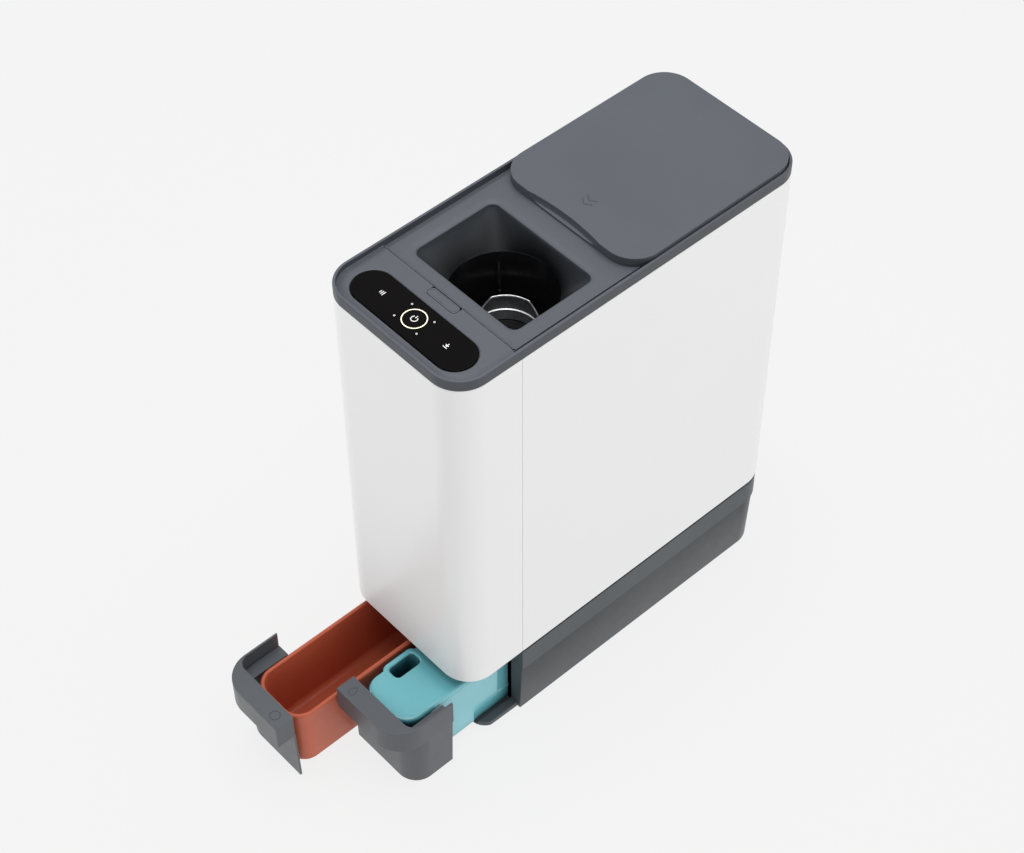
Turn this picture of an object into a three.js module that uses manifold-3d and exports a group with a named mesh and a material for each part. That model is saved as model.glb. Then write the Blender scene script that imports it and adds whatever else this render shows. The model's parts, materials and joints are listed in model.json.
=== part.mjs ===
// Slim kitchen food-waste composter: sliding lid, feed hopper, control panel, and two drawers in the plinth.
// Units are millimetres. X runs across, Y from the front (negative) to the back, Z up from the floor.
// The origin is on the floor at the centre of the housing's footprint.
// The lid stands open and both drawers are pulled out.
import * as THREE from 'three';
import { mergeVertices } from 'three/addons/utils/BufferGeometryUtils.js';
import Module from 'manifold-3d';

const wasm = await Module();
wasm.setup();

// Housing
const BODY_W = 200;
const BODY_D = 464.6;
const CORNER_R = 35.5;
const HALF_W = BODY_W / 2;
const HALF_D = BODY_D / 2;
const SEAM_Y = -151.3;
const SEAM_JOG = 3.3;
const WALL = 2.5;
const GAP = 0.3;

// Levels
const PLINTH_TOP = 113.3;
const BAND_BOTTOM = 79;
const SHELL_BOTTOM = 114.6;
const SHELL_TOP = 576;
const RIM_TOP = 588.8;
const DECK_TOP = 582.6;
const PANEL_TOP = 585;
const LID_BOTTOM = 583.2;
const LID_TOP = 593.7;
const PAD_H = 1.5;
const BASE_FLOOR = 3.6;
const CHASSIS_Z = [115.2, 118];

// Travels, measured from the closed place to the open place
const LID_OPEN = 144.5;
const COMPOST_OPEN = 179.8;
const LIQUID_OPEN = 99.4;

// Hopper, bowl and rotor
const HOPPER_Y = -85;
const HOPPER_HALF_X = 72;
const HOPPER_HALF_Y = 52;
const HOPPER_R = 9;
const BOWL_R = 56;
const BOWL_TOP = 545;
const BOWL_BOTTOM = 460;
const MOTOR_H = 108.7;
const SHAFT_R = 6;

// Composting chamber, with its axis along X
const CHAMBER_Y = 105;
const CHAMBER_Z = 330;
const CHAMBER_R = 98;
const CHAMBER_HALF = 80;
const CHAMBER_WALL = 3;
const MIXER_R = 8;
const MOTOR_Y = 174;
const MOTOR_Z = 209;
const MIXER_PULLEY_R = 40;
const MOTOR_PULLEY_R = 12;
const BELT_X = [-92.6, -87.2];

// Outlet above the compost drawer, and the drain above the liquid drawer
const OUTLET = { x0: -76, x1: -9, y0: 74, y1: 136 };
const DRAIN = { x: 40, y: CHAMBER_Y };

// Drawers
const BIN_TOP = 95;
const BIN_BOTTOM = 4.2;
const DRAWER_FRONT = -203.6;
const DRAWER_BACK = 186;
const INNER_SIDE = 2.2;
const OUTER_SIDE = 79.4;
const TANK_STEP = { lower: -104.6, upper: -70.3 };

const root = new THREE.Group();

// ---------- helpers ----------

const v2 = (x, y) => new THREE.Vector2(x, y);

function arc(cx, cy, r, from, to, steps = 8) {
  const points = [];
  for (let i = 0; i <= steps; i += 1) {
    const a = THREE.MathUtils.degToRad(from + (to - from) * i / steps);
    points.push(v2(cx + r * Math.cos(a), cy + r * Math.sin(a)));
  }
  return points;
}

function roundedRect(x0, x1, y0, y1, r, steps = 8) {
  return [
    ...arc(x1 - r, y0 + r, r, -90, 0, steps),
    ...arc(x1 - r, y1 - r, r, 0, 90, steps),
    ...arc(x0 + r, y1 - r, r, 90, 180, steps),
    ...arc(x0 + r, y0 + r, r, 180, 270, steps),
  ];
}

const bodyOutline = (inset, steps = 10) => roundedRect(
  -HALF_W + inset, HALF_W - inset, -HALF_D + inset, HALF_D - inset, CORNER_R - inset, steps);

function prism(outline, z0, z1, holes = []) {
  const shape = new THREE.Shape(outline);
  for (const hole of holes) shape.holes.push(new THREE.Path(hole));
  const geometry = new THREE.ExtrudeGeometry(shape, { depth: z1 - z0, bevelEnabled: false });
  return geometry.translate(0, 0, z0);
}

// A prism whose outline lies in the YZ plane and which runs along X
function prismX(outline, x0, x1, holes = []) {
  const geometry = prism(outline, x0, x1, holes);
  const turn = new THREE.Matrix4().set(0, 0, 1, 0, 1, 0, 0, 0, 0, 1, 0, 0, 0, 0, 0, 1);
  return geometry.applyMatrix4(turn);
}

function box(x0, x1, y0, y1, z0, z1) {
  const geometry = new THREE.BoxGeometry(x1 - x0, y1 - y0, z1 - z0);
  return geometry.translate((x0 + x1) / 2, (y0 + y1) / 2, (z0 + z1) / 2);
}

function disc(x, y, r, z0, z1, sides = 24) {
  const geometry = new THREE.CylinderGeometry(r, r, z1 - z0, sides);
  return geometry.rotateX(Math.PI / 2).translate(x, y, (z0 + z1) / 2);
}

function discX(y, z, r, x0, x1, sides = 24) {
  const geometry = new THREE.CylinderGeometry(r, r, x1 - x0, sides);
  return geometry.rotateZ(Math.PI / 2).translate((x0 + x1) / 2, y, z);
}

function discY(x, z, r, y0, y1, sides = 24) {
  return new THREE.CylinderGeometry(r, r, y1 - y0, sides).translate(x, (y0 + y1) / 2, z);
}

// A profile of [radius, height] points turned about the Z axis
function turned(profile, sides = 32) {
  const geometry = new THREE.LatheGeometry(profile.map(([r, z]) => v2(r, z)), sides);
  return geometry.rotateX(Math.PI / 2);
}

function tube(points, r, steps, sides = 8) {
  const path = new THREE.CatmullRomCurve3(points.map((p) => new THREE.Vector3(...p)));
  const section = new THREE.Shape(arc(0, 0, r, 0, 360 - 360 / sides, sides - 1));
  return new THREE.ExtrudeGeometry(section, { steps, extrudePath: path, bevelEnabled: false });
}

// Moves each vertex by a rule of its place
function shaped(geometry, rule) {
  const position = geometry.attributes.position;
  const p = new THREE.Vector3();
  for (let i = 0; i < position.count; i += 1) {
    p.fromBufferAttribute(position, i);
    rule(p);
    position.setXYZ(i, p.x, p.y, p.z);
  }
  return geometry;
}

function welded(geometry) {
  const plain = geometry.index ? geometry.toNonIndexed() : geometry;
  plain.deleteAttribute('normal');
  plain.deleteAttribute('uv');
  return mergeVertices(plain, 1e-4);
}

function volume(geometry) {
  const p = geometry.attributes.position;
  const index = geometry.index;
  const [a, b, c] = [new THREE.Vector3(), new THREE.Vector3(), new THREE.Vector3()];
  let total = 0;
  for (let i = 0; i < index.count; i += 3) {
    a.fromBufferAttribute(p, index.getX(i));
    b.fromBufferAttribute(p, index.getX(i + 1));
    c.fromBufferAttribute(p, index.getX(i + 2));
    total += a.dot(b.cross(c)) / 6;
  }
  return total;
}

// Welds a geometry and turns its faces outwards
function closed(geometry) {
  const solid = welded(geometry);
  if (volume(solid) < 0) {
    const index = solid.index;
    for (let i = 0; i < index.count; i += 3) {
      const first = index.getX(i);
      index.setX(i, index.getX(i + 1));
      index.setX(i + 1, first);
    }
  }
  return solid;
}

function toSolid(geometry) {
  const solid = closed(geometry);
  return new wasm.Manifold(new wasm.Mesh({
    numProp: 3,
    vertProperties: new Float32Array(solid.attributes.position.array),
    triVerts: new Uint32Array(solid.index.array),
  }));
}

function toGeometry(solid) {
  const mesh = solid.getMesh();
  const geometry = new THREE.BufferGeometry();
  geometry.setAttribute('position', new THREE.BufferAttribute(mesh.vertProperties, 3));
  geometry.setIndex(new THREE.BufferAttribute(mesh.triVerts, 1));
  return geometry;
}

function join(first, ...others) {
  return toGeometry(others.reduce((sum, other) => sum.add(toSolid(other)), toSolid(first)));
}

function cut(first, ...tools) {
  return toGeometry(tools.reduce((rest, tool) => rest.subtract(toSolid(tool)), toSolid(first)));
}

function keep(first, second) {
  return toGeometry(toSolid(first).intersect(toSolid(second)));
}

function mirrored(geometry) {
  return geometry.clone().scale(-1, 1, 1);
}

function place(name, geometry, [color, roughness, metalness = 0], shift = [0, 0, 0]) {
  const material = new THREE.MeshStandardMaterial({ color, roughness, metalness });
  const mesh = new THREE.Mesh(closed(geometry), material);
  mesh.name = name;
  mesh.position.set(...shift);
  root.add(mesh);
}

const WHITE = [0xe9e9e9, 0.28];
const SLATE = [0x5b6065, 0.55];
const DARK = [0x33373a, 0.6];
const BLACK = [0x0c0c0e, 0.12];
const RUBBER = [0x1a1a1a, 0.9];
const STEEL = [0xb8bbbe, 0.3, 1];
const CHROME = [0xe2e4e6, 0.08, 1];
const ZINC = [0x9da2a6, 0.45, 1];
const TERRACOTTA = [0xa85a40, 0.5];
const TEAL = [0x6fb4bd, 0.35];
const GREEN = [0x1f5a3a, 0.6];
const IVORY = [0xd8d4c4, 0.6];

// ---------- plinth and floor ----------

// The part of a wall below the band leans in towards the floor
function leaning(outline, z0, z1, lean) {
  return shaped(prism(outline, z0, z1), (p) => {
    if (p.z > z0 + 1) return;
    p.x -= Math.sign(p.x) * lean;
    p.y -= Math.sign(p.y) * lean * Math.min(1, Math.abs(p.y) / 200);
  });
}

function basePlinth() {
  const front = SEAM_Y + GAP / 2;
  const band = prism(bodyOutline(0.4), BAND_BOTTOM, PLINTH_TOP);
  const skirt = leaning(bodyOutline(1.9), PAD_H, BAND_BOTTOM + 1, 3);
  const bay = box(-80.4, 80.4, -300, 212, BASE_FLOOR, 200);
  const ahead = box(-150, 150, -300, front, -10, 200);
  const hollows = [1, -1].map((s) => box(
    Math.min(84 * s, 92 * s), Math.max(84 * s, 92 * s), front + 3, 190, -1, 109));
  const tongue = [...arc(71.5, -182.5, 21, -65, -22, 8), v2(91, -140), v2(80.4, -140)];
  const tongues = [1, -1].map((s) => prism(tongue.map((p) => v2(p.x * s, p.y)), PAD_H, 8));
  const lipEnd = arc(71.5, -182.5, 21, -90, -22, 8);
  const lip = prism([...lipEnd, v2(91, -140), v2(-91, -140),
    ...lipEnd.map((p) => v2(-p.x, p.y)).reverse()], PAD_H, BASE_FLOOR);
  const tray = box(-80.6, 80.6, front, 213, PAD_H, BASE_FLOOR);
  const shell = cut(join(band, skirt), bay, ahead, ...hollows);
  return join(shell, tray, lip, ...tongues);
}

function addPlinth() {
  place('base_plinth', basePlinth(), SLATE);
  for (const [i, y] of [-120, 0, 190].entries()) {
    const name = ['front', 'middle', 'rear'][i];
    const outline = roundedRect(-70, 70, y - 8, y + 8, 4, 4);
    place(`anti_slip_pad_${name}`, prism(outline, 0, PAD_H - GAP / 3), RUBBER);
  }
  const divider = join(
    box(-0.8, 0.8, -140, 205, BASE_FLOOR + 0.1, 84),
    box(-1.6, 1.6, -140, 205, BASE_FLOOR + 0.1, BASE_FLOOR + 2));
  place('drawer_divider', divider, ZINC);
  const chassis = cut(
    prism(bodyOutline(3), ...CHASSIS_Z),
    box(OUTLET.x0, OUTLET.x1, OUTLET.y0, OUTLET.y1, 100, 130),
    disc(DRAIN.x, DRAIN.y, 8, 100, 130, 16));
  place('chassis_floor', chassis, ZINC);
}

// ---------- housing ----------

function shellRing() {
  return prism(bodyOutline(0), SHELL_BOTTOM, SHELL_TOP, [bodyOutline(WALL)]);
}

function addHousing() {
  const behind = box(-150, 150, SEAM_Y + GAP / 2, 300, 0, 700);
  const ahead = box(-150, 150, -300, SEAM_Y - GAP / 2, 0, 700);
  const main = cut(
    keep(shellRing(), behind),
    box(-50, 50, 220, 240, 440, 540),
    box(31, 59, 220, 240, 131, 155));
  place('main_shell', main, WHITE);
  place('front_shell', keep(shellRing(), ahead), WHITE);

  const slots = [];
  for (let i = 0; i < 11; i += 1) {
    const z = 446 + i * 8.8;
    slots.push(box(-45, 45, 220, 240, z, z + 4));
  }
  const grille = cut(join(
    box(-49.7, 49.7, HALF_D - WALL + GAP, HALF_D - 0.4, 440.3, 539.7),
    box(-53, 53, HALF_D - WALL - 2.2, HALF_D - WALL - GAP, 437, 543),
    box(-48, 48, HALF_D - WALL - 1, HALF_D - 1, 442, 538)), ...slots);
  place('rear_grille', grille, DARK);

  const inlet = cut(
    join(
      box(31.3, 58.7, 212, HALF_D - 0.3, 131.3, 154.7),
      box(28, 62, 225.5, HALF_D - WALL - GAP, 128, 158)),
    box(34, 56, 216, 240, 134.5, 151.5));
  const pins = [-7, 0, 7].map((dx) => box(44 + dx, 46 + dx, 214, 228, 141, 145));
  place('power_inlet', join(inlet, ...pins), BLACK);

  for (const s of [1, -1]) {
    const side = s > 0 ? 'right' : 'left';
    const sheet = box(91.2, 93, -148, -24, CHASSIS_Z[1] + GAP, 560);
    const foot = box(80, 92, -148, -24, CHASSIS_Z[1] + GAP, CHASSIS_Z[1] + 2.3);
    const window1 = box(90, 94, -125, -47, 150, 290);
    const window2 = box(90, 94, -125, -47, 440, 540);
    const frame = cut(join(sheet, foot), window1, window2);
    place(`side_frame_${side}`, s > 0 ? frame : mirrored(frame), ZINC);
  }
}

// ---------- top deck and lid ----------

const GROOVE_X = [91, 96.8];

// Everything behind the seam between the panel and the hopper deck. The seam steps forwards on the deck.
function behindSeam(shift) {
  const rim = SEAM_Y + shift;
  const deck = rim - SEAM_JOG;
  return prism([
    v2(-150, rim), v2(-96.8, rim), v2(-93.6, deck), v2(93.6, deck), v2(96.8, rim), v2(150, rim),
    v2(150, 300), v2(-150, 300),
  ], 500, 700);
}

function deckStock(span) {
  const rim = prism(bodyOutline(0), SHELL_TOP + GAP, RIM_TOP);
  const inside = prism(bodyOutline(3.2), DECK_TOP, 700);
  const under = prism(bodyOutline(WALL + 1.2), 500, DECK_TOP - 3);
  return cut(keep(rim, span), inside, under);
}

function grooves(y0, y1) {
  return [1, -1].map((s) => box(
    Math.min(GROOVE_X[0] * s, GROOVE_X[1] * s), Math.max(GROOVE_X[0] * s, GROOVE_X[1] * s),
    y0, y1, DECK_TOP - 1.8, DECK_TOP + 1));
}

const stadium = (half, r, y, steps = 10) => roundedRect(-half, half, y - r, y + r, r - 0.01, steps);
const PANEL_Y = -197.6;
const PANEL_HALF = 80.4;
const PANEL_R = 22;
const RING_Y = -196.6;
const RING_R = [11.8, 12.8];
const TAB = { half: 20, y0: -165.6, y1: SEAM_Y - SEAM_JOG - 0.9 };

function addControlDeck() {
  const rim = prism(bodyOutline(0), SHELL_TOP + GAP, RIM_TOP);
  const inside = prism(bodyOutline(4), PANEL_TOP, 700);
  const under = prism(bodyOutline(WALL + 1.2), 500, PANEL_TOP - 5);
  const deck = cut(
    rim, behindSeam(-GAP / 2), inside, under,
    prism(stadium(PANEL_HALF + GAP, PANEL_R + GAP, PANEL_Y), PANEL_TOP - 3.4, 700),
    prism(stadium(PANEL_HALF - 4, PANEL_R - 4, PANEL_Y), 500, 700),
    prism(roundedRect(-TAB.half - GAP, TAB.half + GAP, TAB.y0 - GAP, TAB.y1 + GAP, 4, 4), 500, 700));
  place('control_deck', deck, SLATE);

  const channel = (grow) => prism(
    arc(0, RING_Y, RING_R[1] + grow, 0, 350, 35), PANEL_TOP - 1.5 - grow, PANEL_TOP + 1,
    [arc(0, RING_Y, RING_R[0] - grow, 0, 350, 35)]);
  const glass = cut(prism(stadium(PANEL_HALF, PANEL_R, PANEL_Y), PANEL_TOP - 3, PANEL_TOP + 0.4),
    channel(GAP / 2));
  place('control_glass', glass, BLACK);
  const ring = prism(
    arc(0, RING_Y, RING_R[1], 0, 350, 35), PANEL_TOP - 1.3, PANEL_TOP + 0.5,
    [arc(0, RING_Y, RING_R[0], 0, 350, 35)]);
  place('touch_ring', ring, IVORY);

  const board = cut(box(-70, 70, -214, -179, 570, 571.6),
    ...[-66, 66].map((x) => disc(x, PANEL_Y, 1.6, 560, 580, 12)));
  place('control_board', board, GREEN);

  const stem = box(-4, 4, -163, -158, 566, PANEL_TOP - 2);
  const cap = prism(roundedRect(-TAB.half, TAB.half, TAB.y0, TAB.y1, 4, 4), PANEL_TOP - 3.5, PANEL_TOP);
  place('release_button', join(cap, stem), SLATE);
  const turns = 4;
  const coil = [];
  for (let i = 0; i <= turns * 10; i += 1) {
    const a = i / 10 * 2 * Math.PI;
    coil.push([12 + 3 * Math.cos(a), -160.5 + 3 * Math.sin(a), 570 + 8 * i / (turns * 10)]);
  }
  place('release_spring', tube(coil, 0.45, turns * 12, 6), STEEL);
}

function addDecks() {
  const split = -10.7;
  const opening = roundedRect(-HOPPER_HALF_X, HOPPER_HALF_X,
    HOPPER_Y - HOPPER_HALF_Y, HOPPER_Y + HOPPER_HALF_Y, HOPPER_R, 6);
  const beforeSplit = box(-150, 150, -300, split - GAP / 2, 0, 700);
  const afterSplit = box(-150, 150, split + GAP / 2, 300, 0, 700);
  const hopperDeck = cut(deckStock(keep(behindSeam(GAP / 2), beforeSplit)),
    ...grooves(SEAM_Y - 9, split), prism(opening, 500, 700));
  const lidStop = box(-89, 89, SEAM_Y - SEAM_JOG + GAP / 2, SEAM_Y - 0.4, DECK_TOP - 1, PANEL_TOP);
  place('hopper_deck', join(hopperDeck, lidStop), SLATE);
  const rearDeck = cut(deckStock(afterSplit), ...grooves(split - 1, 190));
  place('rear_deck', rearDeck, SLATE);
}

const LID = { half: 96.3, y0: -6.4, y1: 228.4, r: 33 };

function addLid() {
  const outline = roundedRect(-LID.half, LID.half, LID.y0, LID.y1, LID.r, 8);
  const scoop = disc(0, LID.y0 - 280, 284.6, LID_TOP - 8.3, LID_TOP + 5, 160);
  const lid = cut(prism(outline, LID_BOTTOM, LID_TOP),
    prism(roundedRect(-88, 88, 4, 219, 26, 6), LID_BOTTOM - 1, LID_BOTTOM + 6),
    keep(scoop, box(-52, 52, -40, 40, 500, 700)));
  const runner = box(92, 95.8, 30, 185, DECK_TOP - 1.4, LID_BOTTOM + 1);
  place('sliding_lid', join(lid, runner, mirrored(runner)), SLATE);
}

// ---------- hopper, bowl and grinder ----------

// Corners of the rectangular mouth run down onto a circle
function mouthToCircle(halfX, halfY, corner, radius, z0, z1) {
  const rim = [];
  const count = 48;
  for (let i = 0; i < count; i += 1) {
    const a = (i + 0.5) / count * 2 * Math.PI;
    const reach = Math.min(
      (halfX - corner) / Math.abs(Math.cos(a)), (halfY - corner) / Math.abs(Math.sin(a)));
    rim.push({ a, x: reach * Math.cos(a) + corner * Math.cos(a), y: reach * Math.sin(a) + corner * Math.sin(a) });
  }
  const outline = rim.map((p) => v2(p.x, p.y));
  return shaped(prism(outline, z0, z1), (p) => {
    if (p.z > z0 + 0.1) return;
    const r = Math.hypot(p.x, p.y);
    p.x *= radius / r;
    p.y *= radius / r;
  }).translate(0, HOPPER_Y, 0);
}

function addHopper() {
  const z1 = DECK_TOP - 3.3;
  const z0 = BOWL_BOTTOM;
  const outer = mouthToCircle(HOPPER_HALF_X + 4, HOPPER_HALF_Y + 4, 9, BOWL_R + 4, BOWL_TOP + GAP, z1);
  const inner = mouthToCircle(HOPPER_HALF_X + 0.5, HOPPER_HALF_Y + 0.5, 9, BOWL_R, BOWL_TOP + GAP, z1);
  const above = mouthToCircle(HOPPER_HALF_X + 0.5, HOPPER_HALF_Y + 0.5, 9, BOWL_R, BOWL_TOP - 1, z1 + 0.5);
  place('hopper_collar', keep(cut(outer, above), cut(outer, inner)), SLATE);

  const bowl = turned([
    [SHAFT_R + 3, z0], [48, z0], [BOWL_R + 3, z0 + 14], [BOWL_R + 3, BOWL_TOP - 4],
    [BOWL_R + 6, BOWL_TOP - 3], [BOWL_R + 6, BOWL_TOP], [BOWL_R, BOWL_TOP], [BOWL_R, z0 + 16],
    [46, z0 + 3], [SHAFT_R + 3, z0 + 3], [SHAFT_R + 3, z0],
  ], 40).translate(0, HOPPER_Y, 0);
  const port = box(-16, 16, HOPPER_Y + 40, HOPPER_Y + 80, z0 + 18, z0 + 42);
  const vanes = [];
  for (let i = 1; i < 6; i += 1) {
    const vane = box(-1.5, 1.5, BOWL_R - 12, BOWL_R + 1, z0 + 20, z0 + 71);
    vanes.push(vane.rotateZ(i * Math.PI / 3 - 0.122).translate(0, HOPPER_Y, 0));
  }
  place('grinding_bowl', join(cut(bowl, port), ...vanes), BLACK);

  const hub = join(
    turned([[0, 4], [16, 4], [17, 12], [10, 26], [0, 29]], 24),
    turned([[0, 4], [40, 4], [40, 6.5], [0, 7]], 32)).translate(0, HOPPER_Y, z0);
  place('rotor_disc', hub, STEEL);
  for (const [i, name] of ['a', 'b'].entries()) {
    const wing = prism([...arc(0, 0, 42, -52, 52, 14), ...arc(0, 0, 21, 52, -52, 10)], 7.2, 40);
    const sloped = cut(wing, box(-50, 50, -50, 50, -20, 0)
      .rotateY(-0.9).translate(34, 0, 7));
    const hollow = prism([...arc(0, 0, 40, -50, 50, 14), ...arc(0, 0, 19, 50, -50, 10)], 10, 50);
    const blade = cut(sloped, hollow);
    place(`rotor_blade_${name}`,
      blade.rotateZ(2.234 + i * Math.PI).translate(0, HOPPER_Y, z0), CHROME);
  }
  place('grinder_shaft', disc(0, HOPPER_Y, SHAFT_R, z0 - 16, z0 + 3.7, 20), STEEL);
  const plateZ = z0 - 11;
  const deckPlate = cut(box(-90.8, 90.8, -147, -25, plateZ, plateZ + 3),
    disc(0, HOPPER_Y, 17, plateZ - 5, plateZ + 8, 24));
  place('motor_plate', deckPlate, ZINC);
  const h = MOTOR_H;
  const motor = turned([[0, 0], [36, 0], [40, 4], [40, h - 4.7], [36, h], [10, h], [10, h - 5.7], [0, h - 5.7]],
    32).translate(0, HOPPER_Y, plateZ - GAP - h);
  place('grinder_motor', motor, ZINC);

  const ductTop = z0 + 46;
  const ductBottom = 434.2;
  const duct = cut(
    join(box(-20, 20, HOPPER_Y + BOWL_R + 3.5, 43, z0 + 14, ductTop), box(-20, 20, 5, 43, ductBottom, ductTop)),
    box(-17, 17, HOPPER_Y + 40, 40, z0 + 17, ductTop - 3),
    box(-17, 17, 8, 40, ductBottom - 5, ductTop - 3));
  place('transfer_duct', duct, DARK);
}

// ---------- composting chamber ----------

function troughOutline(r, top) {
  return [...arc(CHAMBER_Y, CHAMBER_Z, r, 180, 360, 20), v2(CHAMBER_Y + r, top), v2(CHAMBER_Y - r, top)];
}

function addChamber() {
  const top = CHAMBER_Z + CHAMBER_R + 2;
  const outer = CHAMBER_R + CHAMBER_WALL;
  const end = CHAMBER_HALF + CHAMBER_WALL;
  const trough = cut(
    prismX(troughOutline(outer, top), -end, end),
    prismX(troughOutline(CHAMBER_R, top + 5), -CHAMBER_HALF, CHAMBER_HALF),
    discX(CHAMBER_Y, CHAMBER_Z, 14.3, -100, 100, 24),
    box(OUTLET.x0 + 4, OUTLET.x1 - 4, OUTLET.y0 + 4, OUTLET.y1 - 4, 200, 245),
    disc(DRAIN.x, DRAIN.y, 5, 200, 240, 12));
  place('compost_chamber', trough, STEEL);

  const cover = cut(
    box(-end, end, CHAMBER_Y - outer, CHAMBER_Y + outer, top + GAP, top + 3.5),
    box(-17, 17, 8, 40, top - 5, top + 10),
    disc(0, 150, 20, top - 5, top + 10, 24));
  place('chamber_cover', cover, DARK);

  for (const s of [1, -1]) {
    const name = s > 0 ? 'right' : 'left';
    const ring = turned([[MIXER_R + 0.2, 0], [14, 0], [14, 7], [MIXER_R + 0.2, 7], [MIXER_R + 0.2, 0]], 24)
      .rotateY(Math.PI / 2).translate(CHAMBER_HALF - 2, CHAMBER_Y, CHAMBER_Z);
    place(`mixer_bearing_${name}`, s > 0 ? ring : mirrored(ring), STEEL);
  }
  place('mixer_shaft', discX(CHAMBER_Y, CHAMBER_Z, MIXER_R, -93, 90, 20), STEEL);
  for (let i = 0; i < 3; i += 1) {
    const x = -52 + 52 * i;
    const hub = discX(0, 0, 14, x - 8, x + 8, 20);
    const arms = [1, -1].map((s) => box(x - 4, x + 4, Math.min(8 * s, 84 * s), Math.max(8 * s, 84 * s), -3, 3));
    const tips = [1, -1].map((s) => box(
      x - 14, x + 14, Math.min(82 * s, 92 * s), Math.max(82 * s, 92 * s), -4, 4));
    const paddle = cut(join(hub, ...arms, ...tips), discX(0, 0, MIXER_R + GAP, x - 20, x + 20, 20));
    place(`mixer_paddle_${i + 1}`, paddle.rotateX(i * Math.PI / 3).translate(0, CHAMBER_Y, CHAMBER_Z), STEEL);
  }

  const pulley = (y, z, r, bore) => cut(join(
    discX(y, z, r, BELT_X[0] - 0.6, BELT_X[1] + 0.6, 32),
    discX(y, z, r + 2, BELT_X[1] + 0.3, BELT_X[1] + 1.6, 32)), discX(y, z, bore, -100, -80, 20));
  place('mixer_pulley', pulley(CHAMBER_Y, CHAMBER_Z, MIXER_PULLEY_R, MIXER_R + 0.05), DARK);
  place('motor_pulley', join(pulley(MOTOR_Y, MOTOR_Z, MOTOR_PULLEY_R, 3),
    discX(MOTOR_Y, MOTOR_Z, 4, -93.6, -82.4, 16)), STEEL);
  place('drive_belt', driveBelt(), RUBBER);
  const gearmotor = join(
    discX(MOTOR_Y, MOTOR_Z, 28, -82, -40, 24), discX(MOTOR_Y, MOTOR_Z, 24, -41, 30, 24));
  place('mixer_motor', gearmotor, ZINC);

  const reach = CHAMBER_R + CHAMBER_WALL + GAP;
  const cradle = (x0) => {
    const plate = cut(
      box(x0, x0 + 2.5, 10, 195, CHASSIS_Z[1] + GAP, 300),
      discX(CHAMBER_Y, CHAMBER_Z, reach + 0.6, x0 - 5, x0 + 5, 40),
      box(x0 - 5, x0 + 5, 60, 150, 90, 180));
    return join(plate, box(x0 - 0.1, x0 + 14, 14, 56, CHASSIS_Z[1] + GAP, CHASSIS_Z[1] + 2.3));
  };
  place('chamber_cradle_right', cradle(58), ZINC);
  const middle = cut(cradle(-4), discX(MOTOR_Y, MOTOR_Z, 24.3, -10, 10, 32));
  place('chamber_cradle_left', middle, ZINC);
}

// A loop of even thickness round both pulleys
function driveBelt() {
  const dy = MOTOR_Y - CHAMBER_Y;
  const dz = MOTOR_Z - CHAMBER_Z;
  const along = THREE.MathUtils.radToDeg(Math.atan2(dz, dy));
  const spread = THREE.MathUtils.radToDeg(
    Math.acos((MIXER_PULLEY_R - MOTOR_PULLEY_R) / Math.hypot(dy, dz)));
  const loop = (grow) => [
    ...arc(CHAMBER_Y, CHAMBER_Z, MIXER_PULLEY_R + grow, along + spread, along + 360 - spread, 24),
    ...arc(MOTOR_Y, MOTOR_Z, MOTOR_PULLEY_R + grow, along - spread, along + spread, 10),
  ];
  return prismX(loop(GAP + 2), BELT_X[0] + 0.4, BELT_X[1] - 0.1, [loop(GAP)]);
}

// ---------- outlet, drain, air path and electrics ----------

function addOutlet() {
  const { x0, x1, y0, y1 } = OUTLET;
  const z0 = CHASSIS_Z[1] + 3.6;
  const bore = box(x0 + 3, x1 - 3, y0 + 3, y1 - 3, 100, 300);
  const chute = cut(
    box(x0 - 1, x1 + 1, y0 - 1, y1 + 1, z0, 242),
    bore,
    discX(CHAMBER_Y, CHAMBER_Z, CHAMBER_R + CHAMBER_WALL + GAP + 0.5, -100, 20, 40),
    box(x0 - 5, x1 + 5, y1 - 4, y1 + 5, 176, 300));
  place('outlet_chute', chute, DARK);
  const gate = join(
    box(x0 - 2, x1 + 2, y0 - 2, y1 + 2, CHASSIS_Z[1] + 0.4, CHASSIS_Z[1] + 3),
    box(x0 + 8, x0 + 12, y1, y1 + 8, CHASSIS_Z[1] + 0.4, CHASSIS_Z[1] + 3));
  place('outlet_gate', gate, STEEL);

  const nozzle = turned([[3, 113.6], [6, 113.6], [7, 119], [7, 130], [3, 130], [3, 113.6]], 16)
    .translate(DRAIN.x, DRAIN.y, 0);
  place('drain_nozzle', nozzle, DARK);
  const valve = cut(join(
    box(DRAIN.x - 11, DRAIN.x + 11, DRAIN.y - 14, DRAIN.y + 14, 130.3, 152),
    discX(DRAIN.y, 141, 9, DRAIN.x - 11, DRAIN.x + 16, 16)), disc(DRAIN.x, DRAIN.y, 3, 120, 160, 12));
  place('drain_valve', valve, BLACK);
  const hose = cut(
    disc(DRAIN.x, DRAIN.y, 6, 152.3, CHAMBER_Z - CHAMBER_R - CHAMBER_WALL - 0.4, 16),
    disc(DRAIN.x, DRAIN.y, 4, 140, 240, 16));
  place('drain_hose', hose, RUBBER);
}

const FAN = { z: 490, y0: 204, y1: 226, r: 36 };

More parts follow.
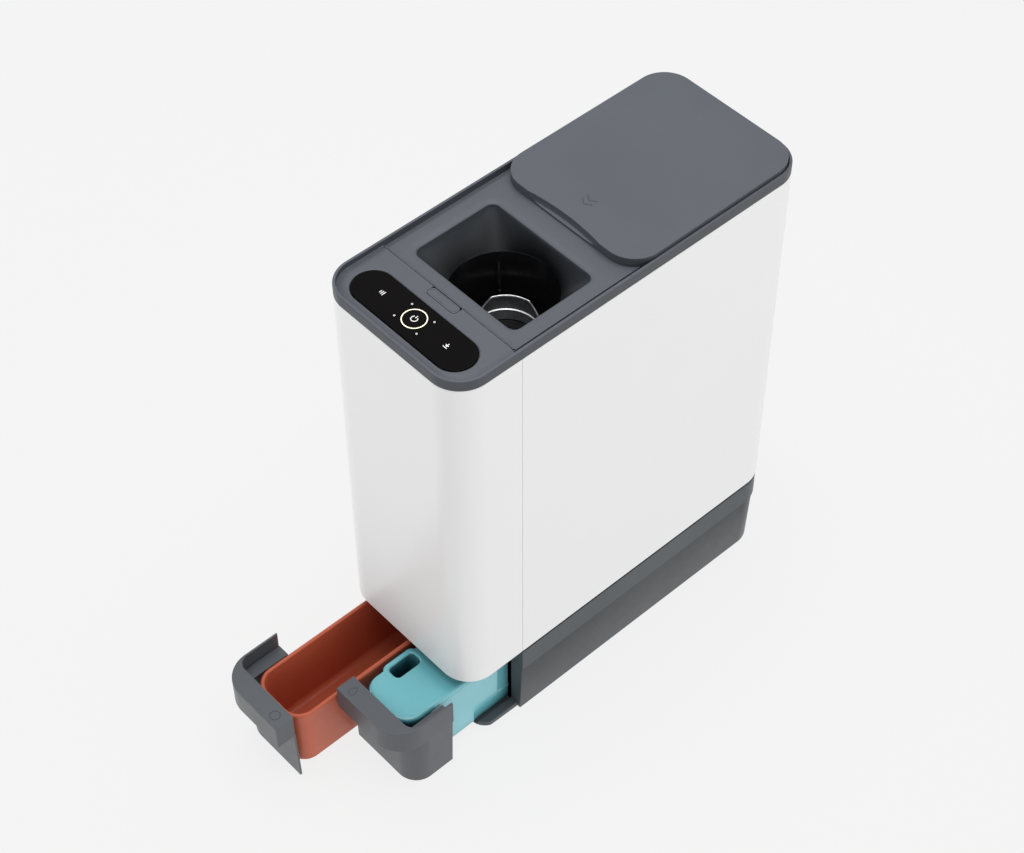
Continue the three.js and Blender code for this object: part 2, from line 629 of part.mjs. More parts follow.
function addAirPath() {
  const top = CHAMBER_Z + CHAMBER_R + 2 + 3.5;
  const housing = cut(
    box(-58, 58, 62, 201, top + GAP, 562),
    box(-55, 55, 65, 198, top + 3.3, 559),
    disc(0, 150, 20, top - 5, top + 6, 24),
    discY(0, FAN.z, FAN.r, 190, 210, 32));
  place('filter_housing', housing, DARK);
  const cartridge = join(
    box(-52, 52, 96, 178, 468, 556), box(-54.5, 54.5, 90, 184, 460, 468));
  place('carbon_filter', cartridge, RUBBER);
  const shroud = cut(
    box(-46, 46, FAN.y0, FAN.y1, FAN.z - 46, FAN.z + 46),
    discY(0, FAN.z, FAN.r + 2, FAN.y0 + 2, FAN.y1 + 5, 36),
    discY(0, FAN.z, FAN.r - 2, FAN.y0 - 5, FAN.y0 + 5, 36));
  const spokes = [0, 1, 2].map((i) => box(-2, 2, FAN.y0, FAN.y0 + 2, 8, FAN.r + 4)
    .rotateY(i * 2 * Math.PI / 3).translate(0, 0, FAN.z));
  const boss = discY(0, FAN.z, 12, FAN.y0, FAN.y0 + 4, 20);
  place('fan_shroud', join(shroud, boss, ...spokes), BLACK);
  const blades = [];
  for (let i = 0; i < 7; i += 1) {
    const blade = box(-6, 6, -0.8, 0.8, 10, FAN.r).rotateZ(0.6);
    blades.push(blade.translate(0, 216, 0).rotateY(i * 2 * Math.PI / 7).translate(0, 0, FAN.z));
  }
  place('fan_impeller', join(discY(0, FAN.z, 13, 208.6, 223, 24), ...blades), DARK);
}

function addElectrics() {
  place('power_supply', box(-62, 62, -214, -158, CHASSIS_Z[1] + GAP, 176), ZINC);
  place('main_board', cut(box(-70, 70, -170, -168.4, 220, 400),
    ...[-64, 64].flatMap((x) => [226, 394].map((z) => discY(x, z, 1.7, -180, -160, 10)))), GREEN);
  const lead = tube([[45, 211, 143], [45, 207, 143], [62, 201, 134], [78, 188, 127], [86, 165, 125],
    [86, 10, 125], [74, -20, 127], [70, -120, 130], [52, -150, 138], [50, -156.8, 140]], 3, 44, 8);
  place('supply_lead', lead, RUBBER);
}

// ---------- drawers ----------

function drawerFront() {
  const inner = 1.3;
  const frontY = -HALF_D + 2.2;
  const side = HALF_W - 0.4;
  const end = SEAM_Y - GAP;
  const band = prism([
    v2(inner, frontY), ...arc(side - CORNER_R, frontY + CORNER_R, CORNER_R, -90, 0, 10), v2(side, end),
    v2(97.6, end), ...arc(84, -193.4, 13.6, 0, -90, 6), v2(inner, -207),
  ], 91.5, PLINTH_TOP);
  const lower = prism([
    v2(inner, frontY), ...arc(side - CORNER_R, frontY + CORNER_R, CORNER_R, -90, 0, 10), v2(side, end),
    v2(95.4, end), ...arc(83, -194.2, 12.4, 0, -90, 6), v2(inner, -206.6),
  ], BAND_BOTTOM, 92);
  const web = prism([
    v2(70, -207.5), v2(95, -207.5), v2(96.5, -190), v2(96.5, end), v2(81.4, end),
    ...arc(76.5, -200, 4.9, 0, -90, 4), v2(70, -204.9),
  ], 89.5, 92);
  const skirt = shaped(prism([
    v2(inner, -208.6), ...arc(72.8, -183.6, 25, -90, 0, 10), v2(97.8, end),
    v2(95.4, end), ...arc(72.8, -183.6, 22.6, 0, -90, 10), v2(inner, -206.2),
  ], PAD_H + 0.4, BAND_BOTTOM + 1), (p) => {
    if (p.z > PAD_H + 1) return;
    p.x *= 1 - 2.7 / 97.8;
    p.y += 1.6 * THREE.MathUtils.clamp((-180 - p.y) / 28, 0, 1);
  });
  return join(band, lower, web, skirt);
}

function containerBody() {
  return shaped(prism(roundedRect(INNER_SIDE, OUTER_SIDE, DRAWER_FRONT, DRAWER_BACK, 24, 8), BIN_BOTTOM, BIN_TOP),
    (p) => {
      if (p.z > BIN_BOTTOM + 1) return;
      p.x += (40.8 - p.x) * 0.06;
      p.y += (-8.8 - p.y) * 0.012;
    });
}

function compostBin() {
  const wall = 3;
  const hollow = shaped(
    prism(roundedRect(INNER_SIDE + wall, OUTER_SIDE - wall, DRAWER_FRONT + wall, DRAWER_BACK - wall, 21, 8),
      BIN_BOTTOM + 3, BIN_TOP + 1),
    (p) => {
      if (p.z > BIN_BOTTOM + 4) return;
      p.x += (40.8 - p.x) * 0.06;
      p.y += (-8.8 - p.y) * 0.012;
    });
  return cut(containerBody(), hollow);
}

function liquidTank() {
  const pocketY = [-166.4, -131.6];
  const wall = 2.6;
  const grip = roundedRect(8.5, 25.5, ...pocketY, 5.5, 5);
  const gripWall = roundedRect(0, 28.2, pocketY[0] - 2.6, pocketY[1] + 2.6, 7, 5);
  const hollow = cut(
    prism(roundedRect(INNER_SIDE + 4, OUTER_SIDE - 7, DRAWER_FRONT + 4, DRAWER_BACK - 4, 20, 8),
      BIN_BOTTOM + wall, BIN_TOP - wall),
    prism(gripWall, 40, 200));
  return cut(
    containerBody(), hollow, prism(grip, 45, 200),
    disc(DRAIN.x, DRAIN.y, 14, 80, 200, 24),
    box(74.8, 90, TANK_STEP.upper, 200, 26, 200),
    box(74.8, 90, TANK_STEP.lower, 200, -10, 27));
}

function addDrawers() {
  const front = drawerFront();
  const compost = [0, -COMPOST_OPEN, 0];
  const liquid = [0, -LIQUID_OPEN, 0];
  place('compost_drawer_front', mirrored(front), SLATE, compost);
  place('compost_bin', mirrored(compostBin()), TERRACOTTA, compost);
  place('liquid_drawer_front', front, SLATE, liquid);
  place('liquid_tank', liquidTank(), TEAL, liquid);
}

addPlinth();
addHousing();
addControlDeck();
addDecks();
addLid();
addHopper();
addChamber();
addOutlet();
addAirPath();
addElectrics();
addDrawers();

export default root;
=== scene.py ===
"""Looks of a slim kitchen food-waste composter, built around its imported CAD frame.

Sizes are in millimetres and become metres when a mesh is made. X runs across, Y from the front
(negative) to the back, Z up from the floor.
"""
import json
import math
from contextlib import contextmanager

import bmesh
import bpy
from mathutils import Matrix, Vector

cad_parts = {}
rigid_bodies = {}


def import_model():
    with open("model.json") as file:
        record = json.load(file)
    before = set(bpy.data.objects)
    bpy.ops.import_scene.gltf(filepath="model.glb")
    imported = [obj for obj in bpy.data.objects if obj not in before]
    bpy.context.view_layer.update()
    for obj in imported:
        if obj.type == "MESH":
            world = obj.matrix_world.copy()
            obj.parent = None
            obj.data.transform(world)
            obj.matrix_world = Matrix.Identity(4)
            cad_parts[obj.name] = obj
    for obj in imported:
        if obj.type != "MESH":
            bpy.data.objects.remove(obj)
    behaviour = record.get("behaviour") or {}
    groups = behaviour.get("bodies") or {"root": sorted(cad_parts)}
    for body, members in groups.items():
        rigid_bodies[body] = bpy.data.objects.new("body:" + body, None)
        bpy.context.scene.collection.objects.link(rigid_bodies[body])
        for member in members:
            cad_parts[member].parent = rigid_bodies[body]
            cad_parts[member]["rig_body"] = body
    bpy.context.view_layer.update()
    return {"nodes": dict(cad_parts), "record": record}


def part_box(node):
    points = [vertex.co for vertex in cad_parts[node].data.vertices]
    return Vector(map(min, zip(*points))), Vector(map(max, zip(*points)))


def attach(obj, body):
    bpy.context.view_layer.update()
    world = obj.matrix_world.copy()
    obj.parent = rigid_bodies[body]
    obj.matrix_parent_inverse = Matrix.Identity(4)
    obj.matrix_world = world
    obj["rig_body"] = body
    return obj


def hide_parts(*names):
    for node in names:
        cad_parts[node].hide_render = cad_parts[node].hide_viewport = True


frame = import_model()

MM = 0.001


# ---------- places taken from the frame ----------

def box_mm(node):
    lo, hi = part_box(node)
    return lo / MM, hi / MM


MAIN_LO, MAIN_HI = box_mm("main_shell")
HALF_W = MAIN_HI.x
HALF_D = MAIN_HI.y
CORNER_R = 35.5
WALL = 2.5
SHELL_Z = (MAIN_LO.z, MAIN_HI.z)
# The front shell ends, and the main shell starts, on the two sides of a fine seam.
FRONT_END = box_mm("front_shell")[1].y
MAIN_END = MAIN_LO.y

DECK_LO, DECK_HI = box_mm("hopper_deck")
RIM_BOTTOM = DECK_LO.z
RIM_TOP = DECK_HI.z
REAR_DECK_START = box_mm("rear_deck")[0].y
SEAM_GAP = 0.7
DECK_TOP = RIM_TOP - 6.2
PANEL_TOP = RIM_TOP - 3.8
UNDERSIDE = RIM_BOTTOM + 0.9
# A cutter that goes right through the decks runs between these heights.
THROUGH_DECKS = (500, 700)

GLASS_LO, GLASS_HI = box_mm("control_glass")
PANEL_Y = (GLASS_LO.y + GLASS_HI.y) / 2
PANEL_HALF = GLASS_HI.x
PANEL_R = (GLASS_HI.y - GLASS_LO.y) / 2
GLASS_TOP = GLASS_HI.z
GLASS_GAP = 0.4
RING_LO, RING_HI = box_mm("touch_ring")
RING_Y = (RING_LO.y + RING_HI.y) / 2
SYMBOL_X = 46.5
TAB_LO, TAB_HI = box_mm("release_button")
TAB_GAP = 0.5

LID_LO, LID_HI = box_mm("sliding_lid")
BOWL_LO, BOWL_HI = box_mm("grinding_bowl")
HOPPER_Y = (BOWL_LO.y + BOWL_HI.y) / 2
HOPPER_HALF = (72, 52)
HOPPER_R = 9
BOWL_R = BOWL_HI.x - 6
RIB_ANGLES = (23, 143, 203, 263, 323)

PLINTH_LO, PLINTH_HI = box_mm("base_plinth")
PLINTH_TOP = PLINTH_HI.z
# Below this height the plinth and the drawer fronts step inwards.
BAND_BOTTOM = 79
BIN_LO, BIN_HI = box_mm("compost_bin")
TANK_LO, TANK_HI = box_mm("liquid_tank")
# How far the closed pull bars stand behind the front of the shell.
PULL_SET_BACK = 2.2


# ---------- outlines ----------

def arc(cx, cy, r, start, end, steps=12):
    points = []
    for i in range(steps + 1):
        a = math.radians(start + (end - start) * i / steps)
        points.append((cx + r * math.cos(a), cy + r * math.sin(a)))
    return points


def rounded(x0, x1, y0, y1, r, steps=12):
    return (arc(x1 - r, y0 + r, r, -90, 0, steps) + arc(x1 - r, y1 - r, r, 0, 90, steps)
            + arc(x0 + r, y1 - r, r, 90, 180, steps) + arc(x0 + r, y0 + r, r, 180, 270, steps))


def housing_outline(inset):
    return rounded(-HALF_W + inset, HALF_W - inset, -HALF_D + inset, HALF_D - inset,
                   CORNER_R - inset, 20)


def rear_path(inset, y_cut, steps=20):
    """From the right end of a cut across the housing, round its back, to the left end."""
    x, y, r = HALF_W - inset, HALF_D - inset, CORNER_R - inset
    return ([(x, y_cut)] + arc(x - r, y - r, r, 0, 90, steps)
            + arc(-x + r, y - r, r, 90, 180, steps) + [(-x, y_cut)])


def front_path(inset, y_cut, steps=20):
    """From the left end of a cut across the housing, round its front, to the right end."""
    x, y, r = HALF_W - inset, HALF_D - inset, CORNER_R - inset
    return ([(-x, y_cut)] + arc(-x + r, -y + r, r, 180, 270, steps)
            + arc(x - r, -y + r, r, -90, 0, steps) + [(x, y_cut)])


def walled(path, y_cut, outside, inside):
    """The outline of a thin wall that follows one of the two paths above."""
    return path(outside, y_cut) + list(reversed(path(inside, y_cut)))


def at(outline, z):
    return [(x, y, z) for x, y in outline]


def flipped(outline):
    return [(-x, y) for x, y in reversed(outline)]


# ---------- meshes ----------

def mesh_object(name, verts, faces):
    mesh = bpy.data.meshes.new(name)
    mesh.from_pydata([tuple(c * MM for c in v) for v in verts], [], faces)
    obj = bpy.data.objects.new(name, mesh)
    bpy.context.scene.collection.objects.link(obj)
    return obj


def loft(name, rings, loop=False):
    """A skin through rings of equal count, closed by end caps or, with loop, into a ring."""
    count, levels = len(rings[0]), len(rings)
    verts = [p for ring in rings for p in ring]
    faces = []
    for k in range(levels if loop else levels - 1):
        low, high = k * count, (k + 1) % levels * count
        faces += [(low + i, low + (i + 1) % count, high + (i + 1) % count, high + i)
                  for i in range(count)]
    if not loop:
        faces.append(tuple(reversed(range(count))))
        faces.append(tuple((levels - 1) * count + i for i in range(count)))
    return mesh_object(name, verts, faces)


def prism(name, outline, z0, z1):
    return loft(name, [at(outline, z0), at(outline, z1)])


def block(name, x0, x1, y0, y1, z0, z1):
    return prism(name, [(x0, y0), (x1, y0), (x1, y1), (x0, y1)], z0, z1)


def block_pair(x0, x1, *sides):
    """A block on the right and its mirror image on the left."""
    return [block("tool", x0, x1, *sides), block("tool", -x1, -x0, *sides)]


def turned(name, profile, centre, sides=96):
    """A profile of (radius, height) points turned about a vertical axis, closed on itself."""
    rings = []
    for r, z in profile:
        rings.append([(centre[0] + r * math.cos(2 * math.pi * i / sides),
                       centre[1] + r * math.sin(2 * math.pi * i / sides), z) for i in range(sides)])
    return loft(name, rings, loop=True)


def tube(name, points, radius, closed=False, sides=8):
    """A round bar along a list of points."""
    path = [Vector(p) for p in points]
    rings = []
    for i, p in enumerate(path):
        before = path[i - 1] if i or closed else p
        after = path[(i + 1) % len(path)] if i + 1 < len(path) or closed else p
        along = (after - before).normalized()
        side = along.cross(Vector((0, 0, 1)))
        side = side.normalized() if side.length > 1e-4 else Vector((1, 0, 0))
        up = side.cross(along)
        rings.append([tuple(p + radius * (math.cos(a) * side + math.sin(a) * up))
                      for a in (2 * math.pi * k / sides for k in range(sides))])
    return loft(name, rings, loop=closed)


def applied(obj):
    """Turns an object's modifiers into its mesh."""
    shown = obj.evaluated_get(bpy.context.evaluated_depsgraph_get())
    mesh = bpy.data.meshes.new_from_object(shown)
    old = obj.data
    obj.modifiers.clear()
    obj.data = mesh
    bpy.data.meshes.remove(old)


def combine(obj, operation, *tools):
    for tool in tools:
        outward(tool)
    outward(obj)
    for tool in tools:
        step = obj.modifiers.new("combine", "BOOLEAN")
        step.operation = operation
        step.solver = "MANIFOLD"
        step.object = tool
    bpy.context.view_layer.update()
    applied(obj)
    for tool in tools:
        bpy.data.objects.remove(tool)
    tidy(obj)
    return obj


def cut(obj, *tools):
    return combine(obj, "DIFFERENCE", *tools)


def join(obj, *others):
    return combine(obj, "UNION", *others)


@contextmanager
def edited(obj):
    """Opens an object's mesh for editing, then puts it back."""
    work = bmesh.new()
    work.from_mesh(obj.data)
    yield work
    work.to_mesh(obj.data)
    work.free()


def outward(obj):
    """Turns every face to look out of the solid."""
    with edited(obj) as work:
        bmesh.ops.recalc_face_normals(work, faces=work.faces)
        if work.calc_volume(signed=True) < 0:
            bmesh.ops.reverse_faces(work, faces=work.faces)


def tidy(obj):
    """Merges flat neighbours, so that a bevel finds clean edges."""
    with edited(obj) as work:
        bmesh.ops.remove_doubles(work, verts=work.verts, dist=0.004 * MM)
        bmesh.ops.dissolve_limit(work, angle_limit=math.radians(0.3), verts=work.verts,
                                 edges=work.edges)


def soften(obj, radius, segments=3, where=None, angle=28):
    """Rounds the edges sharper than an angle, or those of them whose middle passes a test."""
    with edited(obj) as work:
        chosen = []
        for edge in work.edges:
            if len(edge.link_faces) != 2 or edge.calc_face_angle(0) < math.radians(angle):
                continue
            middle = (edge.verts[0].co + edge.verts[1].co) / 2 / MM
            if where is None or where(middle):
                chosen.append(edge)
        bmesh.ops.bevel(work, geom=chosen, offset=radius * MM, offset_type="OFFSET",
                        segments=segments, profile=0.5, affect="EDGES", clamp_overlap=True)
        bmesh.ops.dissolve_degenerate(work, dist=0.002 * MM, edges=work.edges)


def smooth(obj, angle):
    for face in obj.data.polygons:
        face.use_smooth = True
    obj.data.set_sharp_from_angle(angle=math.radians(angle))
    normals = obj.modifiers.new("normals", "WEIGHTED_NORMAL")
    normals.keep_sharp = True
    normals.weight = 60


def piece(obj, body, slot, *nodes, material=None, angle=34):
    """Gives a finished mesh its finish, by default the material of its slot, and its body, and
    hides the CAD nodes it stands in for.
    """
    outward(obj)
    smooth(obj, angle)
    obj.data.materials.clear()
    obj.data.materials.append(material or MATERIALS[slot])
    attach(obj, body)
    if nodes:
        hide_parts(*nodes)


# ---------- materials ----------

def linear(*rgb):
    """A display colour, 0 to 255, as linear light."""
    return tuple(c / 255 / 12.92 if c <= 10 else ((c / 255 + 0.055) / 1.055) ** 2.4
                 for c in rgb) + (1,)


class Nodes:
    """A short way to write a node tree."""

    def __init__(self, name):
        self.material = bpy.data.materials.new(name)
        self.material.use_nodes = True
        self.tree = self.material.node_tree
        self.shader = self.tree.nodes["Principled BSDF"]

    def add(self, kind, inputs=None, **settings):
        node = self.tree.nodes.new(kind)
        for key, value in settings.items():
            setattr(node, key, value)
        for key, value in (inputs or {}).items():
            self.feed(node.inputs[key], value)
        return node

    def feed(self, socket, value):
        if isinstance(value, bpy.types.NodeSocket):
            self.tree.links.new(value, socket)
        else:
            socket.default_value = value

    def shade(self, inputs):
        """Sets or links the shader's own sockets."""
        for key, value in inputs.items():
            self.feed(self.shader.inputs[key], value)
        return self.material

    def place(self):
        return self.add("ShaderNodeTexCoord").outputs["Object"]

    def noise(self, scale, detail, rough, stretch=None):
        place = self.place()
        if stretch:
            place = self.add("ShaderNodeMapping",
                             {"Vector": place, "Scale": stretch}).outputs["Vector"]
        found = self.add("ShaderNodeTexNoise", {"Vector": place, "Scale": scale,
                                                "Detail": detail, "Roughness": rough})
        return found.outputs["Fac"]

    def ranged(self, value, low, high, from_low=0.3, from_high=0.7):
        """Turns from_low into low and from_high into high."""
        return self.add("ShaderNodeMapRange", {
            "Value": value, "From Min": from_low, "From Max": from_high,
            "To Min": low, "To Max": high}).outputs["Result"]

    def mix(self, share, a, b):
        node = self.add("ShaderNodeMix", data_type="RGBA")
        self.feed(node.inputs["Factor"], share)
        self.feed(node.inputs["A"], a)
        self.feed(node.inputs["B"], b)
        return node.outputs["Result"]

    def times(self, a, b):
        return self.add("ShaderNodeMath", {0: a, 1: b}, operation="MULTIPLY").outputs[0]

    def plus(self, a, b):
        return self.add("ShaderNodeMath", {0: a, 1: b}, operation="ADD").outputs[0]

    def edges(self, radius):
        """Near 1 on a rounded edge, 0 on a flat: the mask for worn edges and for painted edge
        highlights.
        """
        bent = self.add("ShaderNodeBevel", {"Radius": radius * MM}, samples=4).outputs["Normal"]
        flat = self.add("ShaderNodeNewGeometry").outputs["Normal"]
        dot = self.add("ShaderNodeVectorMath", {0: bent, 1: flat}, operation="DOT_PRODUCT")
        return self.ranged(dot.outputs["Value"], 1, 0, 0.82, 0.995)

    def bump(self, height, strength, distance, after=None):
        node = self.add("ShaderNodeBump", {"Height": height, "Strength": strength,
                                           "Distance": distance * MM})
        if after is not None:
            self.feed(node.inputs["Normal"], after)
        return node.outputs["Normal"]


def shaded(color, factor):
    return tuple(min(1, c * factor) for c in color[:3]) + (1,)


def moulded(name, color, roughness, grain, spread=0.05, tone=0.05, wear=0.25, specular=0.5,
            coat=0, grain_scale=1400, wave=0.25, vertical_shade=1, height_shade=None):
    """Moulded or painted finish: fine grain, uneven gloss, slow colour drift, and lighter edges
    that are partly worn and partly a painted highlight.

    The shade factor for vertical faces sets how bright a vertical face is beside a level one:
    painted shade. The height shade, a colour and two heights, turns the finish to that colour
    as painted shade: fully at the first height and not at all at the second.
    """
    n = Nodes(name)
    drift = n.noise(9, 4, 0.55)
    cloud = n.noise(60, 3, 0.6)
    body = n.mix(n.ranged(drift, 0, 1), shaded(color, 1 - tone), shaded(color, 1 + tone))
    body = n.mix(n.ranged(cloud, 0, 0.5), body, shaded(color, 1 - tone * 0.6))
    # Painted shade: vertical faces are darkened, as they get less light than level ones.
    if vertical_shade < 1:
        normal = n.add("ShaderNodeNewGeometry").outputs["Normal"]
        facing = n.add("ShaderNodeSeparateXYZ", {0: normal}).outputs["Z"]
        body = n.mix(n.ranged(facing, 1, 0, 0.25, 0.85), body, shaded(color, vertical_shade))
    # Painted shade: the colour turns darker between two heights.
    if height_shade:
        shade_colour, z0, z1 = height_shade
        height = n.add("ShaderNodeSeparateXYZ", {0: n.place()}).outputs["Z"]
        body = n.mix(n.ranged(height, 1, 0, z0 * MM, z1 * MM), body, shade_colour)
    # Lighter edges: partly wear, partly a painted highlight.
    if wear:
        edge_wear_and_highlight = n.times(n.edges(0.9), n.ranged(n.noise(240, 4, 0.7), 0.15, wear))
        body = n.mix(edge_wear_and_highlight, body, shaded(color, 1.9))
    gloss = n.plus(n.ranged(drift, roughness - spread, roughness + spread),
                   n.ranged(cloud, -0.02, 0.03))
    slow = n.bump(n.noise(22, 2, 0.4), wave, 0.05)
    return n.shade({
        "Base Color": body, "Roughness": gloss, "Specular IOR Level": specular,
        "Coat Weight": coat, "Coat Roughness": 0.12,
        "Normal": n.bump(n.noise(grain_scale, 2, 0.6), grain, 0.03, slow)})


def brushed(name, color, roughness, along, wear=0.2):
    """Rolled or brushed metal, with its lines running one way."""
    n = Nodes(name)
    lines = n.noise(160, 5, 0.7, along)
    cloud = n.noise(14, 4, 0.6)
    body = n.mix(n.ranged(lines, 0, 1), shaded(color, 0.86), shaded(color, 1.08))
    body = n.mix(n.times(n.edges(0.6), wear), body, shaded(color, 1.5))
    gloss = n.plus(n.ranged(cloud, roughness - 0.06, roughness + 0.08),
                   n.ranged(lines, -0.03, 0.05))
    return n.shade({"Base Color": body, "Roughness": gloss, "Metallic": 1,
                    "Normal": n.bump(lines, 0.18, 0.03)})


def glossy_black(name, color, roughness, specular):
    """Polished black: faint smears in the gloss and dust-fine speckle in the colour."""
    n = Nodes(name)
    smear = n.noise(26, 5, 0.65)
    speck = n.ranged(n.noise(2600, 1, 0.5), 0, 0.35, 0.66, 0.8)
    return n.shade({
        "Base Color": n.mix(speck, color, linear(46, 46, 50)),
        "Roughness": n.ranged(smear, roughness, roughness + 0.1), "Specular IOR Level": specular,
        "Normal": n.bump(n.noise(40, 2, 0.4), 0.08, 0.04)})


def translucent(name, color, hollow_shade_colour, roughness):
    """Tinted plastic with a milky body; its hollows are painted a deeper, darker tint as shade,
    and its edges lighter as a painted highlight.
    """
    n = Nodes(name)
    drift = n.noise(12, 4, 0.6)
    # Painted shade: the hollows that ambient occlusion finds turn to the darker colour.
    hollow_shade = n.add("ShaderNodeAmbientOcclusion", {"Distance": 30 * MM}, samples=6).outputs["AO"]
    body = n.mix(n.ranged(drift, 0, 1), shaded(color, 0.95), shaded(color, 1.05))
    body = n.mix(n.ranged(hollow_shade, 1, 0, 0.2, 0.75), body, hollow_shade_colour)
    # Painted highlight: the edges are lightened.
    body = n.mix(n.times(n.edges(1.6), 0.45), body, shaded(color, 1.35))
    gloss = n.ranged(drift, roughness - 0.04, roughness + 0.07)
    grain = n.noise(1200, 2, 0.5)
    slow = n.bump(n.noise(30, 2, 0.5), 0.3, 0.05)
    return n.shade({
        "Base Color": body, "Roughness": gloss, "Coat Weight": 0.4, "Coat Roughness": 0.08,
        "Subsurface Weight": 0.12, "Subsurface Radius": (0.3, 1.0, 1.1),
        "Subsurface Scale": 4 * MM, "Normal": n.bump(grain, 0.1, 0.02, slow)})


def glowing(name, color, strength):
    n = Nodes(name)
    body = n.mix(n.ranged(n.noise(300, 3, 0.6), 0, 1), color, shaded(color, 0.86))
    return n.shade({"Base Color": body, "Roughness": 0.4, "Emission Color": color,
                    "Emission Strength": strength})


def pellets(name):
    """Pressed carbon granules."""
    n = Nodes(name)
    cells = n.add("ShaderNodeTexVoronoi", {"Vector": n.place(), "Scale": 420}).outputs["Distance"]
    body = n.mix(n.ranged(cells, 0, 1, 0, 0.8), linear(22, 22, 24), linear(58, 58, 60))
    return n.shade({"Base Color": body, "Roughness": n.ranged(cells, 0.65, 0.95, 0, 0.8),
                    "Normal": n.bump(cells, 0.8, 0.5)})


def board(name):
    """Green solder mask with faint copper tracks under it."""
    n = Nodes(name)
    tracks = n.add("ShaderNodeTexBrick", {"Vector": n.place(), "Scale": 60,
                                          "Mortar Size": 0.03}).outputs["Fac"]
    body = n.mix(n.times(tracks, 0.5), linear(24, 88, 54), linear(70, 140, 84))
    return n.shade({"Base Color": body, "Roughness": n.ranged(n.noise(120, 4, 0.6), 0.3, 0.5),
                    "Normal": n.bump(tracks, 0.4, 0.05)})


MATERIALS = {
    "white_shell": moulded("painted_white", linear(241, 241, 241), 0.34, 0.012, spread=0.03,
                           tone=0.006, wear=0, specular=0.4, coat=0.1, wave=0.01),
    # Slate: vertical faces painted darker as shade; edges lighter, partly wear and partly painted
    # highlight.
    "slate_plastic": moulded("slate_moulding", linear(88, 92, 99), 0.42, 0.16, wear=0.9,
                             specular=0.3, vertical_shade=0.66),
    "dark_plastic": moulded("charcoal_moulding", linear(54, 57, 61), 0.42, 0.2, spread=0.06,
                            tone=0.08, wear=0.2, specular=0.4),
    "black_gloss": glossy_black("polished_black", linear(11, 9, 9), 0.05, 0.08),
    "rubber": moulded("soft_rubber", linear(24, 24, 25), 0.78, 0.45, tone=0.1, wear=0.1,
                      specular=0.25, grain_scale=900),
    "sheet_steel": brushed("zinc_sheet", linear(168, 172, 176), 0.42, (1, 30, 1)),
    "stainless": brushed("brushed_stainless", linear(192, 194, 198), 0.28, (30, 1, 1)),
    "chrome": brushed("polished_chrome", linear(240, 241, 244), 0.3, (2, 2, 2), wear=0),
    "motor_casing": brushed("plated_casing", linear(150, 154, 158), 0.38, (1, 1, 30)),
    "terracotta": moulded("terracotta_moulding", linear(194, 97, 69), 0.34, 0.12, wear=0.22,
                          specular=0.3),
    # The teal's second colour is the painted shade of its hollows.
    "teal": translucent("teal_plastic", linear(118, 196, 206), linear(2, 70, 86), 0.16),
    "circuit_board": board("solder_mask"),
    "ring_diffuser": glowing("warm_light", linear(255, 244, 214), 0.9),
    "carbon": pellets("carbon_granules"),
}
SYMBOLS = glowing("symbol_light", linear(226, 226, 226), 0.55)
MARKS = moulded("engraving", linear(54, 57, 62), 0.6, 0.2, spread=0.04, wear=0)
# Painted shade: a darker copy of the deck slate inside the hopper, turning near black towards the
# bowl.
FUNNEL_SHADE_SLATE = moulded("hopper_moulding_shaded", linear(64, 68, 73), 0.38, 0.16, wear=0.2, specular=0.3,
                       height_shade=(linear(20, 21, 23), 545, 582))
# Vertical faces painted a little darker as shade.
PLINTH_SLATE = moulded("plinth_moulding", linear(84, 89, 94), 0.42, 0.18, specular=0.25,
                       vertical_shade=0.86)
# Painted shade: darker towards the top of the skirt, under the band.
SKIRT_SHADE_SLATE = moulded("skirt_moulding_shaded", linear(80, 84, 88), 0.38, 0.18, wear=0.2, specular=0.3,
                      height_shade=(linear(42, 46, 50), BAND_BOTTOM, 0))
BOWL_BLACK = glossy_black("bowl_black", linear(24, 24, 26), 0.16, 0.35)
# Vertical faces painted darker as shade.
PULL_SLATE = moulded("pull_moulding", linear(84, 88, 94), 0.34, 0.16, wear=0.3, vertical_shade=0.8)


# ---------- white shells ----------

def make_shells():
    front = prism("front_panel", walled(front_path, FRONT_END, 0, WALL), *SHELL_Z)
    soften(front, 0.7)
    piece(front, "housing", "white_shell", "front_shell")

    main = prism("main_casing", walled(rear_path, MAIN_END, 0, WALL), *SHELL_Z)
    overlap = 3
    through_back = (HALF_D - 10, HALF_D + 10)
    lo, hi = box_mm("rear_grille")
    grille_hole = block("tool", -50, 50, *through_back, lo.z + overlap, hi.z - overlap)
    lo, hi = box_mm("power_inlet")
    inlet_hole = block("tool", lo.x + overlap, hi.x - overlap, *through_back,
                       lo.z + overlap, hi.z - overlap)
    cut(main, grille_hole, inlet_hole)
    soften(main, 0.6)
    piece(main, "housing", "white_shell", "main_shell")


# ---------- rim, decks and panel ----------

RIM_PROFILE = ([(9.5, UNDERSIDE), (3.7, UNDERSIDE), (3.4, RIM_BOTTOM), (0.4, RIM_BOTTOM),
                (0, RIM_BOTTOM + 0.4)]
               + arc(1.5, RIM_TOP - 1.5, 1.5, 180, 90, 5)
               + arc(2.4, RIM_TOP - 0.8, 0.8, 90, 0, 4))


def tray(name, top):
    """A housing-shaped solid: the rim's section, then (inset, height) points further in."""
    return loft(name, [at(housing_outline(inset), z) for inset, z in RIM_PROFILE + top])


def flare(outline_at, z_top, width, drop, depth, steps=8):
    """A cutter with a rounded lip. outline_at(grow) gives the opening, grown all round."""
    rings = [at(outline_at(0), z_top - depth)]
    for i in range(steps + 1):
        a = math.radians(90 * i / steps)
        rings.append(at(outline_at(width - width * math.cos(a)), z_top - drop + drop * math.sin(a)))
    rings.append(at(outline_at(width), z_top + 12))
    return loft("tool", rings)


